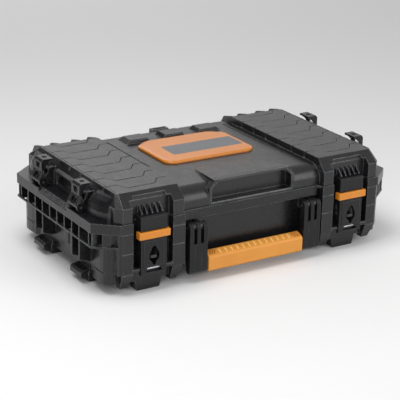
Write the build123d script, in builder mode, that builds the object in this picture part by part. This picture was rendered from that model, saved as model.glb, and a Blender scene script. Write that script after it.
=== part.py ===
from build123d import *
import os

os.makedirs("parts", exist_ok=True)

# ---------------------------------------------------------------- dimensions
# Millimetres. +Z up, front at -Y, X along the length. Z = 0 is the plane that
# the feet stand on, and the origin is the middle of the footprint.

half_length = 280.0        # outer face of the side carrying flanges
front_y = -165.0           # front face of the four front pillars
rear_y = 160.0             # rear face of the rim
seam_z = 119.0             # top of the base rim, where the lid sits
rim_low_z = 103.0          # lower edge of the rim band
rail_low_z = 78.6          # lower edge of the thin mid rail
rail_high_z = 81.6
bend_z = 36.0              # where the pillars start to taper in
body_low_z = 17.0          # underside of the body
pillar_low_z = 9.5

body_x = 260.0             # side wall at the corners
mid_wall_x = 256.0         # side wall between the corners
corner_x = 244.5           # front end of the rim's corner chamfer
flange_front_y = -134.0
flange_rear_y = 130.0
pillar_in = (131.0, 153.0)
pillar_out = (223.0, 244.0)
pocket_y = -150.0          # back wall of the latch pockets
recess_y = -140.0          # back wall behind the carry handle
band_y = -154.0            # front of the rim between the inner pillars

rib_ys = (89.7, 62.4, 36.1, 9.2, -16.8, -42.8, -68.6, -93.4)
long_rib_ys = (62.4, 36.1, -68.6, -93.4)

lid_front_y = -163.0
lid_rear_y = 157.0
lid_side_x = 250.0
shoulder_z = 143.0         # where the lid's sloped faces start
field_z = 151.0            # middle of the lid
tread_z = 162.0            # top of the two raised panels
tread_x = (134.0, 241.5)
tread_y = (-142.5, 121.5)
tread_rows = (123.7, 85.5, 47.5, 8.5, -29.5, -68.0, -105.5)
tread_step = 18.5

latch_x = 188.0            # middle of each latch
latch_pin_y, latch_pin_z, latch_pin_r = -161.0, 40.0, 3.0
band_z = (91.3, 103.0)

handle_x = (92.5, 124.5)   # the two arms of the carry handle
handle_pin_y, handle_pin_z, handle_pin_r = -160.5, 92.5, 2.5
arm_front_y, arm_rear_y = -169.5, -157.5

hinge_y, hinge_z, hinge_pin_r = 163.0, 121.0, 2.5
hinge_r = 8.0
hinge_x = (110.0, 190.0)   # span of each rear hinge
hinge_lid_x = (128.0, 172.0)

clip_ys = (63.5, -69.8)
clip_pin_x, clip_pin_z, clip_pin_r = 271.0, 127.2, 1.5

run = 0.06                 # radial running clearance on pins


# ------------------------------------------------------------------- helpers
def block(x0, x1, y0, y1, z0, z1, mode=Mode.ADD):
    """Box between two corners."""
    with Locations(((x0 + x1) / 2, (y0 + y1) / 2, (z0 + z1) / 2)):
        Box(abs(x1 - x0), abs(y1 - y0), abs(z1 - z0), mode=mode)


def slab(points, z0, z1, mode=Mode.ADD):
    """Plan outline raised from z0 to z1."""
    with BuildSketch(Plane.XY.offset(z0)) as plan:
        with BuildLine():
            Polyline(*points, close=True)
        make_face()
    extrude(plan.sketch, amount=z1 - z0, mode=mode)


def prism_x(points, x0, x1, mode=Mode.ADD):
    """Outline in (Y, Z), run along X."""
    with BuildSketch(Plane.YZ.offset(x0)) as side:
        with BuildLine():
            Polyline(*points, close=True)
        make_face()
    extrude(side.sketch, amount=x1 - x0, mode=mode)


def prism_y(points, y0, y1, mode=Mode.ADD):
    """Outline in (X, Z), run along Y."""
    with BuildSketch(Plane.XZ.offset(-y1)) as front:
        with BuildLine():
            Polyline(*points, close=True)
        make_face()
    extrude(front.sketch, amount=y1 - y0, mode=mode)


def rod_x(x0, x1, y, z, r, mode=Mode.ADD):
    """Cylinder along X."""
    with Locations(Location(((x0 + x1) / 2, y, z), (0, 90, 0))):
        Cylinder(r, abs(x1 - x0), mode=mode)


def rod_y(y0, y1, x, z, r, mode=Mode.ADD):
    """Cylinder along Y."""
    with Locations(Location((x, (y0 + y1) / 2, z), (90, 0, 0))):
        Cylinder(r, abs(y1 - y0), mode=mode)


def taper_block(low, high, z0, z1, mode=Mode.ADD):
    """Loft between two plan outlines with the same number of corners."""
    with BuildSketch(Plane.XY.offset(z0)) as a:
        with BuildLine():
            Polyline(*low, close=True)
        make_face()
    with BuildSketch(Plane.XY.offset(z1)) as b:
        with BuildLine():
            Polyline(*high, close=True)
        make_face()
    loft([a.sketch.faces()[0], b.sketch.faces()[0]], ruled=True, mode=mode)


def rect(x0, x1, y0, y1):
    return [(x0, y0), (x1, y0), (x1, y1), (x0, y1)]


# ---------------------------------------------------------------- base shell
# The right half is drawn and mirrored. The tub carries the rim, the front and
# rear pillars, the ribbed carrying flanges, the feet and the stacking lugs.
with BuildPart() as base_shell:
    # walls and floor
    slab([(0, recess_y), (pillar_in[0], recess_y), (pillar_in[0], pocket_y),
          (246.5, pocket_y), (252.5, -148.4), (257.4, -144.4), (260.4, -138.2), (261.3, -130),
          (261.2, -112), (260.2, -98), (mid_wall_x, -89), (mid_wall_x, 93), (260.2, 102), (261.2, 116),
          (261.2, 130), (260.0, 139), (256.4, 146.2), (250.5, 150.8), (244, 152), (0, 152)],
         body_low_z, seam_z)
    # corner pillars and inner pillars, front
    slab([(pillar_out[0], -130), (pillar_out[0], front_y), (241, front_y), (246, -161.5),
          (247.5, -156), (246, -150), (246, -130)], bend_z, seam_z)
    slab(rect(pillar_in[0], pillar_in[1], front_y, -141), bend_z, seam_z)
    taper_block(rect(pillar_out[0] + 3, 239, -152, -140), rect(pillar_out[0], 243, front_y, -140),
                pillar_low_z, bend_z)
    taper_block(rect(138.5, 151, -152, -140), rect(pillar_in[0], pillar_in[1], front_y, -140),
                pillar_low_z, bend_z)
    # the same, rear
    slab([(pillar_out[0], 125), (pillar_out[0], rear_y), (241, rear_y), (245, 157.5),
          (246, 153), (244.5, 148), (244.5, 125)], bend_z, seam_z)
    slab(rect(pillar_in[0], pillar_in[1], 145, rear_y), bend_z, seam_z)
    taper_block(rect(pillar_out[0] + 3, 239, 140, 151), rect(pillar_out[0], 243, 140, rear_y),
                pillar_low_z, bend_z)
    taper_block(rect(138.5, 151, 140, 151), rect(pillar_in[0], pillar_in[1], 140, rear_y),
                pillar_low_z, bend_z)
    # rim: a flat top plate with a skirt turned down round its edge
    slab([(0, band_y), (126, band_y), (131, -159), (131, front_y), (153, front_y), (153, pocket_y),
          (223, pocket_y), (223, front_y), (corner_x, front_y), (half_length, flange_front_y),
          (half_length, flange_rear_y), (corner_x, rear_y), (0, rear_y)], seam_z - 4.0, seam_z)
    slab([(corner_x - 1, front_y), (corner_x, front_y), (half_length, flange_front_y),
          (half_length, flange_rear_y), (corner_x, rear_y), (0, rear_y), (0, rear_y - 3),
          (corner_x - 1.2, rear_y - 3), (half_length - 3, flange_rear_y - 1.6),
          (half_length - 3, flange_front_y + 1.6), (corner_x - 1, front_y + 3.8)],
         rim_low_z, seam_z)
    block(0, 126, band_y, band_y + 3, rim_low_z, seam_z)
    # mid rail round each side and its corners
    slab([(corner_x - 2, front_y + 1), (half_length - 0.5, flange_front_y - 0.4),
          (half_length - 0.5, flange_rear_y + 0.4), (corner_x - 2, rear_y - 1),
          (corner_x - 2, rear_y - 5), (half_length - 3.5, flange_rear_y - 1.6),
          (half_length - 3.5, flange_front_y + 1.6), (corner_x - 2, front_y + 5)],
         rail_low_z, rail_high_z)
    # ribs between wall, rail and rim
    for y in rib_ys:
        block(mid_wall_x - 1, half_length - 0.8, y - 1.2, y + 1.2, rail_low_z, seam_z - 2)
    for y in long_rib_ys:
        prism_y([(mid_wall_x - 1, 40), (262, 40), (half_length - 0.8, 46), (half_length - 0.8, 80),
                 (mid_wall_x - 1, 80)], y - 1.2, y + 1.2)
    for y in (119.0, 127.0, -123.0, -134.0):
        block(body_x - 2, half_length - 2.2, y - 1.2, y + 1.2, rail_low_z, seam_z - 2)
    slab([(252, -148), (254, -150), (265.5, -145.5), (263.5, -143)], rail_low_z, seam_z - 2)
    slab([(252, 143), (254, 145), (265.5, 141), (263.5, 138.6)], rail_low_z, seam_z - 2)
    # small ribs under the rear rim
    for x in (22, 66, 100, 178, 200):
        block(x - 1.2, x + 1.2, 151, rear_y - 1, 84, seam_z - 2)
    # groove round the foot of the body
    block(body_x - 1.4, body_x + 2, -147, -86, bend_z - 0.8, bend_z + 0.8, mode=Mode.SUBTRACT)
    block(body_x - 1.4, body_x + 2, 90, 143, bend_z - 0.8, bend_z + 0.8, mode=Mode.SUBTRACT)
    block(pillar_out[0] - 1, 244, front_y - 1, front_y + 1.2, bend_z - 0.6, bend_z + 0.6, mode=Mode.SUBTRACT)
    block(pillar_in[0] - 1, 154, front_y - 1, front_y + 1.0, 71.4, 72.4, mode=Mode.SUBTRACT)
    block(pillar_in[0] - 1, 154, front_y - 1, front_y + 1.0, 102.0, 103.0, mode=Mode.SUBTRACT)
    block(pillar_out[0] - 1, 244, front_y - 1, front_y + 1.0, 70.0, 71.0, mode=Mode.SUBTRACT)
    block(pillar_out[0] - 1, 246, front_y - 1, front_y + 1.0, 102.0, 103.0, mode=Mode.SUBTRACT)
    # vertical grooves and a raised field on the plain middle of the side wall
    block(mid_wall_x - 1, mid_wall_x + 1.6, -60, -20, 40, 72)
    block(mid_wall_x - 1, mid_wall_x + 1.6, -12, 30, 40, 72)
    # feet: four at the sides, two in front, two behind
    for y0, y1 in ((49.0, 84.0), (-84.0, -49.0)):
        taper_block(rect(236, 257, y0, y1), rect(231, 259, y0 - 3, y1 + 3), 0, body_low_z + 1)
        # stacking lug that the clip of the box below closes over
        prism_y([(mid_wall_x - 2, 7), (266, 7), (272, 10.5), (272, 18), (268.5, 21), (262, 21.5),
                 (mid_wall_x - 2, 24)], y0 - 1, y1 + 1)
    taper_block(rect(168, 208, pocket_y, -131), rect(164, 212, pocket_y, -128), 0, body_low_z + 1)
    taper_block(rect(168, 208, 126, 145), rect(164, 212, 123, 145), 0, body_low_z + 1)
    # finger-grip bevel along the outer top edge of the flange, with serrations
    prism_y([(half_length + 1, seam_z - 7.5), (half_length + 1, seam_z + 1), (half_length - 9, seam_z + 1),
             (half_length - 9, seam_z), (half_length, seam_z - 6.5)], -52.0, 48.0, mode=Mode.SUBTRACT)
    for i in range(13):
        y = 44.0 - 7.4 * i
        prism_y([(half_length - 13, seam_z - 2.0), (half_length - 11, seam_z),
                 (half_length - 7.5, seam_z), (half_length - 1.0, seam_z - 3.6),
                 (half_length - 1.0, seam_z - 6.0), (half_length - 6, seam_z - 6.0)],
                y - 1.8, y + 1.8)
    # bosses that hold the ends of each latch pin
    for x0, x1 in ((pillar_in[1] - 1, latch_x - 23.1), (latch_x + 23.1, pillar_out[0] + 1)):
        rod_x(x0, x1, latch_pin_y, latch_pin_z, 4.4)
    # hinge knuckles on the rear wall
    for x0, x1 in ((hinge_x[0], hinge_lid_x[0]), (hinge_lid_x[1], hinge_x[1])):
        rod_x(x0, x1, hinge_y, hinge_z, hinge_r)
        prism_x([(rear_y - 6, 96), (rear_y, 96), (hinge_y + hinge_r, 112), (hinge_y + hinge_r, hinge_z),
                 (hinge_y, hinge_z), (rear_y - 3, seam_z - 1)], x0, x1)
    rod_x(hinge_lid_x[0] - 0.6, hinge_lid_x[1] + 0.6, hinge_y, hinge_z, hinge_r + 1.0, mode=Mode.SUBTRACT)
    # hinge ears for the carry handle
    for x in (102.4, 114.6):
        prism_x([(recess_y + 1, 81.5), (handle_pin_y, handle_pin_z - 6), (handle_pin_y, handle_pin_z + 6),
                 (recess_y + 1, 98.5)], x - 2.6, x + 2.6)
        rod_x(x - 2.6, x + 2.6, handle_pin_y, handle_pin_z, 6.0)
    mirror(about=Plane.YZ)
    # inside of the tub, with a ledge left under the rim for the seal to close on
    with BuildSketch(Plane.XY.offset(body_low_z + 3)) as cavity:
        with Locations((0, 6)):
            RectangleRounded(500, 286, 14)
    extrude(amount=seam_z - 7 - body_low_z - 3, mode=Mode.SUBTRACT)
    with BuildSketch(Plane.XY.offset(body_low_z + 3)) as mouth:
        with Locations((0, 4.5)):
            RectangleRounded(482, 283, 12)
    extrude(amount=110, mode=Mode.SUBTRACT)
    for s in (-1, 1):
        # pillars are hollow behind their faces
        block(s * 226.5, s * 240, front_y + 4, -130, 50, seam_z - 5, mode=Mode.SUBTRACT)
        block(s * 135, s * 149.5, front_y + 4, -130, 50, seam_z - 5, mode=Mode.SUBTRACT)
        # pin bores: latches, handle, rear hinges
        rod_x(s * 149.9, s * 226.1, latch_pin_y, latch_pin_z, latch_pin_r + 0.03, mode=Mode.SUBTRACT)
        rod_x(s * 90, s * 127, handle_pin_y, handle_pin_z, handle_pin_r + 0.03, mode=Mode.SUBTRACT)
        rod_x(s * (hinge_x[0] + 1.5), s * (hinge_x[1] + 1), hinge_y, hinge_z, hinge_pin_r + 0.03,
              mode=Mode.SUBTRACT)
base_shell.part.label = "base_shell"

# ----------------------------------------------------------------- lid shell
badge_out = [(-87, -22), (-75, -33), (75, -33), (87, -22), (87, 70), (62, 88), (-62, 88), (-87, 70)]
badge_seat = [(-83, -20), (-73, -29), (73, -29), (83, -20), (83, 68), (60, 84.5), (-60, 84.5), (-83, 68)]
tread_low = [(132, lid_front_y), (240, lid_front_y), (249, -153), (249, 148), (240, lid_rear_y),
             (132, lid_rear_y)]
tread_high = [(tread_x[0], tread_y[0]), (237, tread_y[0]), (tread_x[1], -138), (tread_x[1], 117),
              (237, tread_y[1]), (tread_x[0], tread_y[1])]

with BuildPart() as lid_shell:
    # middle of the lid, with a full round along its front edge
    with BuildSketch(Plane.YZ.offset(-135)) as middle:
        with BuildLine():
            l1 = Line((-151, seam_z), (-151, 126))
            a1 = ThreePointArc(l1 @ 1, (-144.3, 143.3), (-127, field_z))
            l2 = Line(a1 @ 1, (127, field_z))
            a2 = ThreePointArc(l2 @ 1, (148.0, 145.4), (lid_rear_y, 132))
            l3 = Line(a2 @ 1, (lid_rear_y, seam_z))
            Line(l3 @ 1, l1 @ 0)
        make_face()
    extrude(amount=270)
    # ramped plateau that runs forward to the recess frame
    slab([(-57, -61), (57, -61), (73, -152.5), (-73, -152.5)], 140, 165)
    prism_x([(-160, 161.6), (-160, 175), (-61, 175), (-61, field_z)], -131, 131, mode=Mode.SUBTRACT)
    prism_y([(-80.4, seam_z), (-80.4, 147.3), (-66, 160.8), (66, 160.8), (80.4, 147.3), (80.4, seam_z)],
            -152.5, -141)
    prism_y([(-75.6, 123.2), (-75.6, 145.4), (-64, 156.4), (64, 156.4), (75.6, 145.4), (75.6, 123.2)],
            -153.5, -134.5, mode=Mode.SUBTRACT)
    # step round the opening
    prism_y([(-77.8, 122.0), (-77.8, 146.3), (-65.0, 158.5), (65.0, 158.5), (77.8, 146.3), (77.8, 122.0)],
            -153.5, -151.2, mode=Mode.SUBTRACT)
    # raised pads at the rear edge
    for x0, x1, i0, i1 in ((-95, -46, 9, 7), (-22, 22, 5, 5), (46, 95, 7, 9)):
        taper_block([(x0, 93.4), (x1, 93.4), (x1, 124), (x0, 124)],
                    [(x0 + i0, 95), (x1 - i1, 95), (x1 - i1, 120), (x0 + i0, 120)], field_z - 1, 158)
    # small loop on the rear edge, behind the middle pad
    block(-16, 16, 140, 153, 140, 152.5)
    block(-12.5, 12.5, 143.5, 149.5, 143, 154, mode=Mode.SUBTRACT)
    for s in (-1, 1):
        def sx(points):
            return [(s * x, y) for x, y in points]
        # lower band of the raised panels, down to the seam
        slab(sx([(133, -130), (133, lid_front_y), (240, lid_front_y), (lid_side_x, -152),
                 (lid_side_x, 147), (240, lid_rear_y), (133, lid_rear_y)]), seam_z, shoulder_z)
        taper_block(sx(tread_low), sx(tread_high), shoulder_z, tread_z)
        # fins on the rear slope
        for x in (137.5, 168, 207, 237):
            prism_x([(118, 150), (125, 161.5), (148, 156.0), (lid_rear_y, 143), (lid_rear_y, 130), (118, 130)],
                    s * x - 2.2, s * x + 2.2)
        # latch pocket, and the step above it that takes the foot of a box on top
        block(s * 152, s * 224, -175, -149, seam_z - 1, 151.5, mode=Mode.SUBTRACT)
        block(s * 160, s * 216, -175, -147.5, 150, 156.5, mode=Mode.SUBTRACT)
        # gussets on the pocket wall above the latch
        for i in range(5):
            x = s * latch_x + 9.0 * (i - 2)
            prism_x([(-148, 128.6), (-161.5, 128.6), (-161.0, 131), (-152.5, 140), (-148, 140)], x - 1.1, x + 1.1)
        # coved panel on the side between the clips, under a small ledge
        prism_y([(s * (lid_side_x + 1), 120.4), (s * (lid_side_x - 2.4), 125), (s * (lid_side_x - 3.2), 131),
                 (s * (lid_side_x - 3.2), 141.8), (s * (lid_side_x + 1), 142.8)], -50, 43, mode=Mode.SUBTRACT)
        prism_y([(s * (lid_side_x - 3), 142.5), (s * (lid_side_x + 2.2), 143.4),
                 (s * (lid_side_x + 2.2), 145.4), (s * (lid_side_x - 4), 149)], -50, 43)
        # rounded fenders that swell out between the clips and the corners
        for f in (1, -1):
            def plan(reach, tuck):
                """One level of a fender: reach is how far it stands out at its widest."""
                ys = (-89.5, -90.5 - tuck, -97 - tuck, -110, -121, -131, -139, -145.5 + 0.8 * tuck)
                xs = (243, reach - 1.5, reach, reach - 0.6, reach - 2.6, max(reach - 6.2, 245),
                      max(reach - 11.5, 244.4), 243)
                return [(s * x, y if f == 1 else -7.0 - y) for x, y in zip(xs, ys)]
            for z0, z1, r0, r1, t0, t1 in ((seam_z, 132, 265.5, 265.0, 0, 0.3), (132, 141, 265.0, 262.4, 0.3, 1.2),
                                           (141, 148, 262.4, 258.0, 1.2, 3.0), (148, 154.5, 258.0, 250.5, 3.0, 6.0)):
                taper_block(plan(r0, t0), plan(r1, t1), z0, z1)
        # ears that carry the stacking clips
        for yc in clip_ys:
            for dy in (-11.5, 11.5):
                prism_y([(s * 245, seam_z + 0.4), (s * clip_pin_x, clip_pin_z - 3.6),
                         (s * clip_pin_x, clip_pin_z + 3.6), (s * 262, 140), (s * 258, 150), (s * 245, 150)],
                        yc + dy - 1.5, yc + dy + 1.5)
                rod_y(yc + dy - 1.5, yc + dy + 1.5, s * clip_pin_x, clip_pin_z, 3.6)
            block(s * 245, s * 257, yc - 11.5, yc + 11.5, seam_z + 0.4, 147)
    # hinge knuckles
    for s in (-1, 1):
        rod_x(s * hinge_lid_x[0], s * hinge_lid_x[1], hinge_y, hinge_z, hinge_r)
        prism_x([(lid_rear_y - 4, seam_z), (hinge_y, hinge_z - 2), (hinge_y + hinge_r, hinge_z),
                 (hinge_y + hinge_r, 124), (lid_rear_y - 4, 141)],
                min(s * hinge_lid_x[0], s * hinge_lid_x[1]), max(s * hinge_lid_x[0], s * hinge_lid_x[1]))
        for x0, x1 in ((hinge_x[0] - 0.6, hinge_lid_x[0]), (hinge_lid_x[1], hinge_x[1] + 0.6)):
            rod_x(s * x0, s * x1, hinge_y, hinge_z, hinge_r + 1.0, mode=Mode.SUBTRACT)
        rod_x(s * (hinge_x[0] - 1), s * (hinge_x[1] + 1), hinge_y, hinge_z, hinge_pin_r + run,
              mode=Mode.SUBTRACT)
        for yc in clip_ys:
            rod_y(yc - 20, yc + 20, s * clip_pin_x, clip_pin_z, clip_pin_r + 0.03, mode=Mode.SUBTRACT)
    # staggered plate edges cut across the two raised panels
    for x_off in (-tread_x[1], tread_x[0]):
        for y in tread_rows:
            w = 1.35
            top = [(-1.5, y), (21.5, y - 1), (29.5, y - tread_step - 0.5), (78.5, y - tread_step),
                   (92, y), (109, y)]
            if y > 121:
                top = [(20, 125), (29.5, y - tread_step - 0.5), (78.5, y - tread_step), (92, 125)]
            pts = [(x_off + u, v + w) for u, v in top] + [(x_off + u, v - w) for u, v in reversed(top)]
            slab(pts, tread_z - 2.8, tread_z + 2, mode=Mode.SUBTRACT)
    # notches where the rows meet the steep inner and outer edges
    for s in (-1, 1):
        for y in tread_rows[1:]:
            block(s * 130.5, s * 137.0, y - 2.4, y + 1.4, field_z + 1.2, tread_z + 1, mode=Mode.SUBTRACT)
            block(s * 239.6, s * 249, y - 1.6, y + 1.0, 155.5, tread_z + 1, mode=Mode.SUBTRACT)
        # long groove just inside the outer edge of the panel
        block(s * 237.4, s * 238.6, tread_y[0] + 5, tread_y[1] - 3, tread_z - 1.2, tread_z + 1, mode=Mode.SUBTRACT)
    # fine line beside the badge field
    for s in (-1, 1):
        block(s * 115.6, s * 118.2, -25, 121.5, field_z - 2.2, field_z + 1, mode=Mode.SUBTRACT)
    # shallow seat for the badge
    slab(badge_seat, field_z - 1.5, field_z + 4, mode=Mode.SUBTRACT)
    # inside of the lid
    block(-241, 241, -129, 146, seam_z - 1, 138, mode=Mode.SUBTRACT)
    block(-240, 240, -129, 130, 137, field_z - 3.6, mode=Mode.SUBTRACT)
    for s in (-1, 1):
        block(s * 84, s * 241, -140, -128, seam_z - 1, 138, mode=Mode.SUBTRACT)
        block(s * 139, s * 235, -132, 112, 146, 156.8, mode=Mode.SUBTRACT)
    # groove for the seal, in the edge that meets the rim
    with BuildSketch(Plane.XY.offset(seam_z)) as seal_groove:
        with Locations((0, 3.25)):
            RectangleRounded(496, 299.5, 8)
            RectangleRounded(488, 291.5, 4, mode=Mode.SUBTRACT)
    extrude(amount=3, mode=Mode.SUBTRACT)
lid_shell.part.label = "lid_shell"

# ---------------------------------------------------------------------- seal
with BuildPart() as lid_gasket:
    with BuildSketch(Plane.XY.offset(seam_z)) as ring:
        with Locations((0, 3.25)):
            RectangleRounded(496, 299.5, 8)
            RectangleRounded(488, 291.5, 4, mode=Mode.SUBTRACT)
    extrude(amount=3)
lid_gasket.part.label = "lid_gasket"

# --------------------------------------------------------------------- badge
with BuildPart() as badge_plate:
    slab(badge_out, field_z, field_z + 3.4)
    taper_block(badge_out, [(x * 0.978, (y - 27) * 0.97 + 27) for x, y in badge_out],
                field_z + 3.4, field_z + 4.8)
    slab(badge_seat, field_z - 1.5, field_z)
    slab(rect(-57, 79, -3, 43), field_z + 3.6, field_z + 5, mode=Mode.SUBTRACT)
badge_plate.part.label = "badge_plate"

with BuildPart() as badge_inlay:
    slab(rect(-56.9, 78.9, -2.9, 42.9), field_z + 3.6, field_z + 4.7)
badge_inlay.part.label = "badge_inlay"

# ------------------------------------------------------------------- latches
latch_parts = []
for s, side in ((-1, "left"), (1, "right")):
    c = s * latch_x
    with BuildPart() as latch_lever:
        # lower plate with its raised field
        block(c - 22.5, c + 22.5, -167.2, -161.5, 40, 90)
        block(c - 17.5, c + 17.5, -168.4, -165, 45, 86)
        # stem behind the pull band and the deep top block
        block(c - 22.5, c + 22.5, -165.5, -156, 88, 106)
        prism_x([(-151.6, 104), (-167, 104), (-167, 124.5), (-164.5, 127), (-151.6, 127)],
                c - 23, c + 23)
        # side cheeks
        for e in (-1, 1):
            x = c + e * 21
            prism_x([(-165, 60), (-165, 106), (-152.5, 106), (-152.5, 96), (-160, 74)], x - 1.5, x + 1.5)
        # hinge barrel
        rod_x(c - 22.5, c + 22.5, latch_pin_y, latch_pin_z, 6.4)
        prism_x([(-166.2, 31.6), (-167.2, 32.6), (-167.2, 42), (latch_pin_y, 42), (latch_pin_y, 31.6)],
                c - 22.5, c + 22.5)
        rod_x(c - 40, c + 40, latch_pin_y, latch_pin_z, latch_pin_r + run, mode=Mode.SUBTRACT)
        # slot that shows the pin, and the opening round the lock staple
        prism_y([(c - 15, 35.2), (c + 15, 35.2), (c + 11.2, 42.8), (c - 11.2, 42.8)],
                -170, latch_pin_y, mode=Mode.SUBTRACT)
        prism_y([(c - 8.8, 66), (c - 8.8, 57), (c - 3.2, 51), (c - 3.2, 46.5), (c + 3.2, 46.5), (c + 3.2, 51),
                 (c + 8.8, 57), (c + 8.8, 66), (c + 3.2, 76.5), (c, 79), (c - 3.2, 76.5)],
                -172, -150, mode=Mode.SUBTRACT)
    latch_lever.part.label = "latch_lever_" + side
    latch_parts.append((latch_lever, "latch_lever_" + side))

    with BuildPart() as latch_band:
        slab([(c - 27.2, -158.5), (c - 27.2, -170.2), (c - 26.4, -170.9), (c + 26.4, -170.9), (c + 27.2, -170.2),
              (c + 27.2, -158.5), (c + 22.6, -158.5), (c + 22.6, -165.6), (c - 22.6, -165.6),
              (c - 22.6, -158.5)], band_z[0], band_z[1])
    latch_band.part.label = "latch_band_" + side
    latch_parts.append((latch_band, "latch_band_" + side))

    with BuildPart() as latch_pin:
        rod_x(c - 37.8, c + 37.8, latch_pin_y, latch_pin_z, latch_pin_r)
    latch_pin.part.label = "latch_pin_" + side
    latch_parts.append((latch_pin, "latch_pin_" + side))

    with BuildPart() as lock_staple:
        # flat loop that stands out from the pocket wall: the shackle passes behind its bar
        slab([(c - 6.6, pocket_y), (c - 6.6, -164.6), (c - 4.4, -167), (c + 4.4, -167), (c + 6.6, -164.6),
              (c + 6.6, pocket_y)], 57.8, 62.2)
        slab(rect(c - 3.6, c + 3.6, -163.6, pocket_y + 1), 56, 64, mode=Mode.SUBTRACT)
    lock_staple.part.label = "lock_staple_" + side
    latch_parts.append((lock_staple, "lock_staple_" + side))

# -------------------------------------------------------------------- handle
with BuildPart() as handle_frame:
    for s in (-1, 1):
        x0, x1 = sorted((s * handle_x[0], s * handle_x[1]))
        prism_x([(arm_front_y, 20), (arm_front_y + 3, 16.5), (arm_rear_y - 3, 16.5), (arm_rear_y, 20),
                 (arm_rear_y, 85.5), (-155, 89.5), (-155, 95.5), (-157, 99), (-165, 99),
                 (-168.5, 95), (arm_front_y, 87.5)], x0, x1)
        # slots that clear the ears of the base
        for x in (102.4, 114.6):
            block(s * (x - 3.1), s * (x + 3.1), -172, -150, 66, 104, mode=Mode.SUBTRACT)
            block(s * (x - 0.5), s * (x + 0.5), -172, arm_front_y + 0.9, 16, 67, mode=Mode.SUBTRACT)
        rod_x(s * 90, s * 127, handle_pin_y, handle_pin_z, handle_pin_r + run, mode=Mode.SUBTRACT)
    # core bar inside the grip
    block(-93, 93, -166, -158, 24, 38)
handle_frame.part.label = "handle_frame"

with BuildPart() as handle_grip:
    prism_x([(-171, 18.2), (-171, 39.5), (-168.6, 42.2), (-156.5, 47.2), (-153.8, 46.4), (-152.4, 43.8),
             (-152.4, 20), (-156, 15.6), (-168.4, 15.6)], -90.2, 90.2)
    chamfer(handle_grip.faces().sort_by(Axis.X)[0].edges() + handle_grip.faces().sort_by(Axis.X)[-1].edges(),
            length=2.2)
    block(-95, 95, -166, -158, 24, 38, mode=Mode.SUBTRACT)
handle_grip.part.label = "handle_grip"

handle_pins = []
for s, side in ((-1, "left"), (1, "right")):
    with BuildPart() as handle_pin:
        rod_x(s * (handle_x[0] + 1), s * (handle_x[1] - 1), handle_pin_y, handle_pin_z, handle_pin_r)
    handle_pin.part.label = "handle_pin_" + side
    handle_pins.append((handle_pin, "handle_pin_" + side))

# --------------------------------------------------------------- rear hinges
hinge_pins = []
for s, side in ((-1, "left"), (1, "right")):
    with BuildPart() as hinge_pin:
        rod_x(s * (hinge_x[0] + 1.6), s * hinge_x[1], hinge_y, hinge_z, hinge_pin_r)
    hinge_pin.part.label = "hinge_pin_" + side
    hinge_pins.append((hinge_pin, "hinge_pin_" + side))

# ------------------------------------------------------------ stacking clips
clip_parts = []
for s, side in ((-1, "left"), (1, "right")):
    for yc, end in zip(clip_ys, ("rear", "front")):
        with BuildPart() as clip:
            # outer plate that leans in to a narrower neck and a flat hooked top
            prism_y([(s * 278.4, clip_pin_z), (s * 278.4, 131), (s * 272.6, 145), (s * 272.6, 160.4),
                     (s * 269.4, 164.4), (s * 252.6, 164.4), (s * 252.6, 161.2), (s * 267.2, 161.2),
                     (s * 269.2, 159), (s * 269.2, 144), (s * 275.0, 130), (s * 275.0, clip_pin_z)],
                    yc - 16.4, yc + 16.4)
            for e in (-1, 1):
                ya, yb = sorted((yc + e * 13.4, yc + e * 16.4))
                prism_y([(s * 264, 124), (s * 278.4, clip_pin_z), (s * 278.4, 131), (s * 272.6, 145),
                         (s * 269.2, 146), (s * 266, 136)], ya, yb)
                rod_y(ya, yb, s * clip_pin_x, clip_pin_z, 7.4)
                # webs under the hooked top
                ya, yb = sorted((yc + e * 10.2, yc + e * 13.0))
                prism_y([(s * 270, 143), (s * 270, 162), (s * 255, 162), (s * 265.5, 152)], ya, yb)
                # narrower above the shoulders
                prism_x([(yc + e * 13.0, 170), (yc + e * 22, 170), (yc + e * 22, 131), (yc + e * 16.4, 134),
                         (yc + e * 13.0, 146)], min(s * 250, s * 282), max(s * 250, s * 282), mode=Mode.SUBTRACT)
            # windows through the neck and the plate
            block(s * 266, s * 275, yc - 7.2, yc + 7.2, 148, 158, mode=Mode.SUBTRACT)
            prism_x([(yc - 10, 131), (yc + 10, 131), (yc + 7.5, 142.5), (yc - 7.5, 142.5)],
                    min(s * 266, s * 282), max(s * 266, s * 282), mode=Mode.SUBTRACT)
            rod_y(yc - 25, yc + 25, s * clip_pin_x, clip_pin_z, clip_pin_r + run, mode=Mode.SUBTRACT)
            with Locations((s * 261.4, yc, 162)):
                Cylinder(4.2, 10, mode=Mode.SUBTRACT)
        name = "stack_clip_" + side + "_" + end
        clip.part.label = name
        clip_parts.append((clip, name))

with BuildPart() as clip_pins:
    for s in (-1, 1):
        for yc in clip_ys:
            rod_y(yc - 16.0, yc + 16.0, s * clip_pin_x, clip_pin_z, clip_pin_r)
clip_pins.part.label = "clip_pins"

# --------------------------------------------------------------------- write
for piece, name in ([(base_shell, "base_shell"), (lid_shell, "lid_shell"), (lid_gasket, "lid_gasket"),
                     (badge_plate, "badge_plate"), (badge_inlay, "badge_inlay"),
                     (handle_frame, "handle_frame"), (handle_grip, "handle_grip"), (clip_pins, "clip_pins")]
                    + latch_parts + handle_pins + hinge_pins + clip_parts):
    export_step(piece.part, "parts/" + name + ".step")
    print(name, len(piece.part.solids()), round(piece.part.volume, 1))
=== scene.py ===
import bpy
import bmesh
import math
from mathutils import Matrix, Vector


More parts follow.
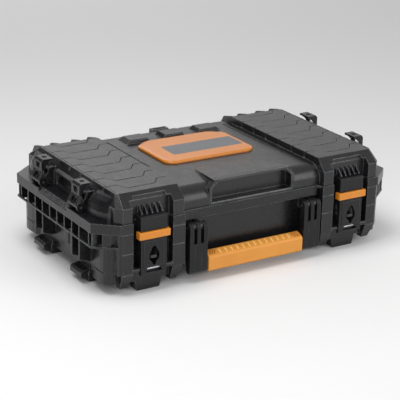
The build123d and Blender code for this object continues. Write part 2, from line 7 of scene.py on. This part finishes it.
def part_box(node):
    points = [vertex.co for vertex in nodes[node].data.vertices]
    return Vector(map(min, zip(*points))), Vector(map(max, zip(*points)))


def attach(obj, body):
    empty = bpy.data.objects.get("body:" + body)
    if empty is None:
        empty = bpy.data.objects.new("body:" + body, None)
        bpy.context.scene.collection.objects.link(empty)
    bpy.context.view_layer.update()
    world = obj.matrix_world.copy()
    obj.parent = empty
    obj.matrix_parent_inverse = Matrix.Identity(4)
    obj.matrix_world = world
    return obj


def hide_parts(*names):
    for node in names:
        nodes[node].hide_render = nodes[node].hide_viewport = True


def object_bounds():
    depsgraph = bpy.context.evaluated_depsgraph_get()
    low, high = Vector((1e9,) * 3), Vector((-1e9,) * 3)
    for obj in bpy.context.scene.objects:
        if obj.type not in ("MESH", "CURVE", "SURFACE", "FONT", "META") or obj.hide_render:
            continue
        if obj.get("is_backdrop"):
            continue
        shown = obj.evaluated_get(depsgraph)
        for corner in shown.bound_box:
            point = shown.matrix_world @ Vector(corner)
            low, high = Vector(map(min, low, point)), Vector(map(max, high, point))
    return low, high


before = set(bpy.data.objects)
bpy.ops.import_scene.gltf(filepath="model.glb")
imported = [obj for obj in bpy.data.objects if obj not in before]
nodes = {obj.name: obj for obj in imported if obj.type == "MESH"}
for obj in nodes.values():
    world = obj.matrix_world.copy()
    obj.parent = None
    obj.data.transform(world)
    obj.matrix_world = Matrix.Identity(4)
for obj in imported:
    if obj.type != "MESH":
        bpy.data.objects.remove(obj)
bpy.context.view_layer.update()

scene = bpy.context.scene
MM = 0.001


# ------------------------------------------------------------------ materials
def new_material(name, color, rough, specular=0.5, coat=0.0, coat_rough=0.3, metallic=0.0):
    """A material with the shader's fixed numbers set on its own sockets."""
    mat = bpy.data.materials.new(name)
    mat.use_nodes = True
    tree = mat.node_tree
    shader = tree.nodes["Principled BSDF"]
    shader.inputs["Base Color"].default_value = (*color, 1)
    shader.inputs["Roughness"].default_value = rough
    shader.inputs["Metallic"].default_value = metallic
    shader.inputs["Specular IOR Level"].default_value = specular
    shader.inputs["Coat Weight"].default_value = coat
    shader.inputs["Coat Roughness"].default_value = coat_rough
    return mat, tree, shader


def add(tree, kind, **values):
    node = tree.nodes.new(kind)
    for key, value in values.items():
        if key in node.inputs:
            node.inputs[key].default_value = value
        else:
            setattr(node, key, value)
    return node


def noise(tree, coords, scale, detail=3.0, rough=0.55):
    n = add(tree, "ShaderNodeTexNoise")
    n.inputs["Scale"].default_value = scale
    n.inputs["Detail"].default_value = detail
    n.inputs["Roughness"].default_value = rough
    tree.links.new(coords, n.inputs["Vector"])
    return n.outputs["Fac"]


def remap(tree, value, low, high, to_low, to_high):
    n = add(tree, "ShaderNodeMapRange")
    for key, number in (("From Min", low), ("From Max", high), ("To Min", to_low), ("To Max", to_high)):
        n.inputs[key].default_value = number
    tree.links.new(value, n.inputs["Value"])
    return n.outputs["Result"]


def mix_color(tree, factor, a, b):
    n = tree.nodes.new("ShaderNodeMix")
    n.data_type = "RGBA"
    tree.links.new(factor, n.inputs["Factor"])
    for socket, value in ((n.inputs[6], a), (n.inputs[7], b)):
        if hasattr(value, "is_linked"):
            tree.links.new(value, socket)
        else:
            socket.default_value = (*value, 1)
    return n.outputs[2]


def moulded(name, dark, light, rough, grain=1100.0, depth=0.05, edge=0.0013, edge_highlight_tint=None, specular=0.5,
            spread=0.08, flow=6.0):
    """Injection-moulded plastic: fine spark-eroded grain, faint flow variation, softened edges and a painted
    highlight along the edges.
    """
    mat, tree, shader = new_material(name, dark, rough, specular)
    link = tree.links.new
    coords = add(tree, "ShaderNodeTexCoord").outputs["Object"]
    fine = noise(tree, coords, grain, 2.0, 0.6)
    cell = add(tree, "ShaderNodeTexVoronoi")
    cell.inputs["Scale"].default_value = grain * 0.62
    link(coords, cell.inputs["Vector"])
    broad = noise(tree, coords, flow, 4.0, 0.6)
    patch = noise(tree, coords, 42.0, 3.0, 0.6)

    # edges: the difference between the rounded and the flat normal, used as the mask of a painted edge highlight
    round_edge = add(tree, "ShaderNodeBevel", samples=6)
    round_edge.inputs["Radius"].default_value = edge
    flat = add(tree, "ShaderNodeNewGeometry")
    dot = add(tree, "ShaderNodeVectorMath", operation="DOT_PRODUCT")
    link(round_edge.outputs["Normal"], dot.inputs[0])
    link(flat.outputs["Normal"], dot.inputs[1])
    painted_edge_mask = remap(tree, dot.outputs["Value"], 0.995, 0.80, 0.0, 1.0)
    breakup = remap(tree, patch, 0.36, 0.62, 0.35, 1.0)
    painted_edge_highlight = add(tree, "ShaderNodeMath", operation="MULTIPLY")
    link(painted_edge_mask, painted_edge_highlight.inputs[0])
    link(breakup, painted_edge_highlight.inputs[1])

    tone = mix_color(tree, remap(tree, broad, 0.32, 0.70, 0.0, 1.0), dark, light)
    speck = mix_color(tree, remap(tree, fine, 0.35, 0.65, 0.0, 0.35), tone, tuple(c * 0.72 for c in dark))
    # painted highlight: edges are lightened towards the edge colour, broken up in patches
    if edge_highlight_tint:
        speck = mix_color(tree, remap(tree, painted_edge_highlight.outputs["Value"], 0.0, 1.0, 0.0, 0.85), speck, edge_highlight_tint)
    link(speck, shader.inputs["Base Color"])

    grade = add(tree, "ShaderNodeMath", operation="ADD")
    link(remap(tree, patch, 0.3, 0.7, rough - spread * 0.5, rough + spread * 0.5), grade.inputs[0])
    link(remap(tree, fine, 0.3, 0.7, -spread * 0.35, spread * 0.35), grade.inputs[1])
    link(grade.outputs["Value"], shader.inputs["Roughness"])

    height = add(tree, "ShaderNodeMath", operation="ADD")
    link(fine, height.inputs[0])
    link(cell.outputs["Distance"], height.inputs[1])
    bump = add(tree, "ShaderNodeBump")
    bump.inputs["Strength"].default_value = depth * 4
    bump.inputs["Distance"].default_value = 0.00012
    link(height.outputs["Value"], bump.inputs["Height"])
    link(round_edge.outputs["Normal"], bump.inputs["Normal"])
    link(bump.outputs["Normal"], shader.inputs["Normal"])
    return mat


def steel(name, color, rough, axis_scale=(1.0, 40.0, 40.0)):
    """Drawn steel: fine lines along the wire."""
    mat, tree, shader = new_material(name, color, rough, 0.5, metallic=1.0)
    link = tree.links.new
    coords = add(tree, "ShaderNodeTexCoord").outputs["Object"]
    stretch = add(tree, "ShaderNodeVectorMath", operation="MULTIPLY")
    stretch.inputs[1].default_value = axis_scale
    link(coords, stretch.inputs[0])
    lines = noise(tree, stretch.outputs["Vector"], 120.0, 3.0)
    link(remap(tree, lines, 0.3, 0.7, rough - 0.08, rough + 0.1), shader.inputs["Roughness"])
    link(mix_color(tree, remap(tree, lines, 0.35, 0.65, 0.0, 1.0), color, tuple(c * 0.8 for c in color)),
         shader.inputs["Base Color"])
    bump = add(tree, "ShaderNodeBump")
    bump.inputs["Strength"].default_value = 0.15
    bump.inputs["Distance"].default_value = 0.0001
    link(lines, bump.inputs["Height"])
    link(bump.outputs["Normal"], shader.inputs["Normal"])
    return mat


base_mat = moulded("base_black", (0.0062, 0.0064, 0.0074), (0.0105, 0.0108, 0.0124), 0.27,
                   edge_highlight_tint=(0.27, 0.274, 0.285), specular=0.46)
lid_mat = moulded("lid_black", (0.0070, 0.0072, 0.0082), (0.0125, 0.0128, 0.0143), 0.29, depth=0.035, edge=0.0016,
                  edge_highlight_tint=(0.27, 0.274, 0.285), specular=0.55)
latch_mat = moulded("latch_black", (0.007, 0.007, 0.008), (0.011, 0.011, 0.0125), 0.34, depth=0.03,
                    edge_highlight_tint=(0.09, 0.09, 0.094), specular=0.32)
handle_mat = moulded("handle_black", (0.006, 0.006, 0.007), (0.010, 0.0105, 0.0115), 0.32, depth=0.03,
                     edge_highlight_tint=(0.10, 0.10, 0.104), specular=0.28)
clip_mat = moulded("clip_black", (0.007, 0.007, 0.008), (0.012, 0.012, 0.0135), 0.27, depth=0.02,
                   edge_highlight_tint=(0.24, 0.24, 0.25), specular=0.4)
badge_mat = moulded("badge_orange", (0.56, 0.175, 0.012), (0.63, 0.21, 0.018), 0.20, depth=0.03,
                    edge_highlight_tint=(0.76, 0.34, 0.05), spread=0.05, specular=0.62)
band_mat = moulded("band_orange", (0.62, 0.205, 0.013), (0.70, 0.245, 0.018), 0.28, depth=0.02,
                   edge_highlight_tint=(0.80, 0.40, 0.10), spread=0.05)
grip_mat = moulded("grip_orange", (0.66, 0.258, 0.030), (0.76, 0.315, 0.042), 0.44, depth=0.08,
                   edge_highlight_tint=(0.80, 0.40, 0.12), spread=0.08)
# paler orange for the grip ribs: a painted highlight on their raised faces
rib_highlight_mat = moulded("grip_rib_orange", (0.86, 0.48, 0.15), (0.90, 0.54, 0.20), 0.40, depth=0.04,
                  edge_highlight_tint=(0.92, 0.64, 0.30), spread=0.05)
# darker orange for the slanted end ribs: painted shade standing in for the shade in the grooves between them
groove_shade_mat = moulded("grip_shade_orange", (0.38, 0.115, 0.012), (0.44, 0.14, 0.016), 0.45, depth=0.04, spread=0.05)
inlay_mat = moulded("inlay_grey", (0.105, 0.112, 0.122), (0.125, 0.132, 0.142), 0.38, depth=0.03,
                    edge_highlight_tint=(0.20, 0.21, 0.22), spread=0.05)
seal_mat = moulded("seal_black", (0.016, 0.016, 0.016), (0.024, 0.024, 0.024), 0.75, grain=700.0, depth=0.16)
pin_mat = steel("pin_steel", (0.62, 0.62, 0.64), 0.28)
staple_mat = moulded("staple_black", (0.020, 0.020, 0.021), (0.028, 0.028, 0.030), 0.28, depth=0.02,
                     edge_highlight_tint=(0.14, 0.14, 0.145))

finish_of = {
    "base_shell": base_mat, "lid_shell": lid_mat, "lid_gasket": seal_mat,
    "badge_plate": badge_mat, "badge_inlay": inlay_mat,
    "handle_frame": handle_mat, "handle_grip": grip_mat, "clip_pins": pin_mat,
}
for side in ("left", "right"):
    finish_of["latch_lever_" + side] = latch_mat
    finish_of["latch_band_" + side] = band_mat
    finish_of["latch_pin_" + side] = pin_mat
    finish_of["lock_staple_" + side] = staple_mat
    finish_of["handle_pin_" + side] = pin_mat
    finish_of["hinge_pin_" + side] = pin_mat
    for end in ("rear", "front"):
        finish_of["stack_clip_%s_%s" % (side, end)] = clip_mat

for name, obj in nodes.items():
    obj.data.materials.clear()
    obj.data.materials.append(finish_of[name])


# ----------------------------------------------------------------- new pieces
def prism(name, outline, low, high, plane):
    """Closed mesh from an outline in millimetres. plane XY is raised along Z, YZ is run along X, XZ along Y."""
    mesh = bpy.data.meshes.new(name)
    bm = bmesh.new()

    def place(u, v, w):
        p = {"XY": (u, v, w), "YZ": (w, u, v), "XZ": (u, w, v)}[plane]
        return Vector(p) * MM

    a = [bm.verts.new(place(u, v, low)) for u, v in outline]
    b = [bm.verts.new(place(u, v, high)) for u, v in outline]
    bm.faces.new(a)
    bm.faces.new(b)
    for i in range(len(outline)):
        j = (i + 1) % len(outline)
        bm.faces.new((a[i], a[j], b[j], b[i]))
    bmesh.ops.recalc_face_normals(bm, faces=bm.faces)
    bm.to_mesh(mesh)
    bm.free()
    obj = bpy.data.objects.new(name, mesh)
    scene.collection.objects.link(obj)
    return obj


def soften(obj, width, segments=3, angle=25.0):
    """Rounded edges, smooth over the rounding only."""
    bevel = obj.modifiers.new("edges", "BEVEL")
    bevel.width = width * MM
    bevel.segments = segments
    bevel.limit_method = "ANGLE"
    bevel.angle_limit = math.radians(angle)
    bevel.harden_normals = False
    for face in obj.data.polygons:
        face.use_smooth = True
    weight = obj.modifiers.new("normals", "WEIGHTED_NORMAL")
    weight.keep_sharp = True
    return obj


def rounded(points, radius, steps=5):
    """The same outline with its corners rounded."""
    result = []
    count = len(points)
    for i, corner in enumerate(points):
        corner = Vector(corner)
        before = Vector(points[i - 1]) - corner
        after = Vector(points[(i + 1) % count]) - corner
        reach = min(radius, before.length * 0.45, after.length * 0.45)
        a, b = corner + before.normalized() * reach, corner + after.normalized() * reach
        for k in range(steps + 1):
            f = k / steps
            result.append(tuple(a * (1 - f) ** 2 + corner * 2 * f * (1 - f) + b * f ** 2))
    return result


def crowned(name, outline, levels):
    """Closed mesh built up from one outline in rings: each level is (inset, height) in millimetres."""
    xs, ys = [x for x, y in outline], [y for x, y in outline]
    cx, cy = (min(xs) + max(xs)) / 2, (min(ys) + max(ys)) / 2
    hx, hy = (max(xs) - min(xs)) / 2, (max(ys) - min(ys)) / 2
    mesh = bpy.data.meshes.new(name)
    bm = bmesh.new()
    rings = []
    for inset, z in levels:
        fx, fy = (hx - inset) / hx, (hy - inset) / hy
        rings.append([bm.verts.new(Vector((cx + (x - cx) * fx, cy + (y - cy) * fy, z)) * MM) for x, y in outline])
    count = len(outline)
    for low_ring, high_ring in zip(rings, rings[1:]):
        for i in range(count):
            j = (i + 1) % count
            bm.faces.new((low_ring[i], low_ring[j], high_ring[j], high_ring[i])).smooth = True
    bm.faces.new(rings[0])
    bm.faces.new(rings[-1]).smooth = True
    bmesh.ops.recalc_face_normals(bm, faces=bm.faces)
    bm.to_mesh(mesh)
    bm.free()
    obj = bpy.data.objects.new(name, mesh)
    scene.collection.objects.link(obj)
    weight = obj.modifiers.new("normals", "WEIGHTED_NORMAL")
    weight.keep_sharp = True
    return obj


def dress(obj, mat, body, slot_name, *replaced):
    obj.data.materials.clear()
    obj.data.materials.append(mat)
    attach(obj, body)
    if replaced:
        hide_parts(*replaced)
    return obj


def lean(obj, amount, y_mid):
    """Slants a piece sideways along its depth."""
    for vertex in obj.data.vertices:
        vertex.co.x += amount * (vertex.co.y - y_mid * MM)
    return obj


# orange pull bands on the latches
for s, side in ((-1, "left"), (1, "right")):
    low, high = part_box("latch_band_" + side)
    c = (low.x + high.x) / 2 / MM
    w = (high.x - low.x) / 2 / MM
    y0, y1 = low.y / MM, high.y / MM
    outline = [(c - w, y1), (c - w, y0), (c + w, y0), (c + w, y1), (c + w - 4.5, y1), (c + w - 4.5, y0 + 5.3),
               (c - w + 4.5, y0 + 5.3), (c - w + 4.5, y1)]
    band = prism("pull_band_" + side, outline, low.z / MM, high.z / MM, "XY")
    soften(band, 1.1, 4)
    dress(band, band_mat, "latch_" + side, "accent_plastic", "latch_band_" + side)

# badge: crowned orange plate with a bare dark inlay
low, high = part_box("badge_plate")
seat_z = low.z / MM + 1.5
top_z = high.z / MM
outline = [(-87, -22), (-75, -33), (75, -33), (87, -22), (87, 70), (62, 88), (-62, 88), (-87, 70)]
badge = crowned("badge_plate_crowned", rounded(outline, 7), [
    (0, seat_z - 0.2), (0, top_z - 2.4), (0.5, top_z - 1.5), (1.6, top_z - 0.75), (4.0, top_z - 0.3), (8.0, top_z)])
dress(badge, badge_mat, "lid", "accent_plastic", "badge_plate")
inlay = prism("badge_inlay_bare", [(-57, -3), (79, -3), (79, 43), (-57, 43)], top_z - 1.2, top_z + 0.0, "XY")
inlay.location.z = 0.02 * MM
soften(inlay, 0.35, 2)
dress(inlay, inlay_mat, "lid", "inlay_plastic", "badge_inlay")

# grip: rounded soft overmould with ribs on its upper face
low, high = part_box("handle_grip")
outline = [(-171, 18.4), (-171, 39.2), (-168.4, 42.3), (-156.8, 47.0), (-153.6, 46.4), (-152.4, 43.6),
           (-152.4, 20), (-156, 15.6), (-168.4, 15.6)]
grip = prism("grip_overmould", outline, -90.2, 90.2, "YZ")
soften(grip, 1.8, 5, 12)
dress(grip, grip_mat, "handle", "grip_rubber", "handle_grip")
rib_outline = [(-167.4, 43.4), (-166.8, 43.85), (-159.2, 46.95), (-158.4, 47.0), (-158.4, 45.4), (-167.4, 42.0)]
for i in range(13):
    x = -66.0 + 11.0 * i
    rib = prism("grip_rib_%02d" % (i + 1), rib_outline, x - 1.5, x + 1.5, "YZ")
    soften(rib, 0.3, 2)
    dress(rib, rib_highlight_mat, "handle", "grip_rubber")
# slanted ribs towards both ends, in a darker orange that paints the shade of the grooves
for s, end in ((-1, "left"), (1, "right")):
    for i in range(3):
        x = s * (75.0 + 4.2 * i)
        rib = lean(prism("grip_end_rib_%s_%d" % (end, i + 1), rib_outline, x - 0.8, x + 0.8, "YZ"), -0.55 * s, -163)
        soften(rib, 0.25, 2)
        dress(rib, groove_shade_mat, "handle", "grip_rubber")
# small nubs along the lower front edge
for i in range(17):
    x = -80.0 + 10.0 * i
    nub = prism("grip_nub_%02d" % (i + 1), [(-170.9, 17.6), (-170.9, 19.4), (-168.5, 19.4), (-168.5, 15.7), (-169.2, 15.7)],
                x - 1.0, x + 1.0, "YZ")
    soften(nub, 0.25, 2)
    dress(nub, grip_mat, "handle", "grip_rubber")

# --------------------------------------------------------- floor, light, camera
floor_mat, floor_tree, floor_shader = new_material("floor_pale", (0.84, 0.84, 0.84), 0.7, 0.2)
plane = bpy.data.meshes.new("floor")
plane.from_pydata([(-6, -6, 0), (6, -6, 0), (6, 6, 0), (-6, 6, 0)], [], [(0, 1, 2, 3)])
floor = bpy.data.objects.new("floor", plane)
scene.collection.objects.link(floor)
floor.location.z = -0.0002
floor.data.materials.append(floor_mat)
floor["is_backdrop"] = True

world = bpy.data.worlds.new("studio")
scene.world = world
world.use_nodes = True
world.node_tree.nodes["Background"].inputs["Color"].default_value = (1, 1, 1, 1)
# the studio is dimmer on the left, so the left side of the box stays dark
sky = world.node_tree
where = add(sky, "ShaderNodeTexCoord").outputs["Generated"]
axes = add(sky, "ShaderNodeSeparateXYZ")
sky.links.new(where, axes.inputs["Vector"])
sky.links.new(remap(sky, axes.outputs["X"], -0.80, 0.10, 0.03, 0.50), sky.nodes["Background"].inputs["Strength"])


def softbox(name, place, target, size, power, color=(1, 1, 1)):
    lamp = bpy.data.lights.new(name, "AREA")
    lamp.shape = "RECTANGLE"
    lamp.size, lamp.size_y = size
    lamp.energy = power
    lamp.color = color
    obj = bpy.data.objects.new(name, lamp)
    scene.collection.objects.link(obj)
    obj.location = place
    obj.rotation_euler = (Vector(target) - Vector(place)).to_track_quat("-Z", "Y").to_euler()
    return obj


softbox("overhead", (-0.50, -0.12, 1.5), (0, 0, 0.1), (0.9, 0.9), 15)
softbox("back_wall", (1.4, 2.2, 1.0), (0, 0, 0.1), (3.0, 1.1), 2.4)
softbox("far_floor", (0.6, 3.6, 1.9), (0.6, 3.9, 0), (3.0, 2.2), 26)
softbox("front_right", (1.3, -2.2, 1.2), (0, 0, 0.1), (2.2, 1.7), 27)
softbox("front_left", (-1.5, -1.9, 1.0), (-0.25, -0.4, 0.0), (1.0, 1.0), 15)

camera_data = bpy.data.cameras.new("camera")
camera = bpy.data.objects.new("camera", camera_data)
scene.collection.objects.link(camera)
camera_data.sensor_width = 36.0
camera_data.lens = 126.19
camera_data.clip_start, camera_data.clip_end = 0.05, 50
az, el, roll = math.radians(-32.0), math.radians(20.05), math.radians(1.36)
back = Vector((math.sin(az) * math.cos(el), -math.cos(az) * math.cos(el), math.sin(el)))
right = Vector((math.cos(az), math.sin(az), 0))
up = back.cross(right)
right_2 = right * math.cos(roll) + up * math.sin(roll)
up_2 = -right * math.sin(roll) + up * math.cos(roll)
turn = Matrix((right_2, up_2, back)).transposed()
camera.matrix_world = Matrix.Translation(Vector((-1.1832, -1.8888, 0.87905))) @ turn.to_4x4()
scene.camera = camera

scene.view_settings.view_transform = "Standard"
scene.view_settings.look = "None"

low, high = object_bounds()
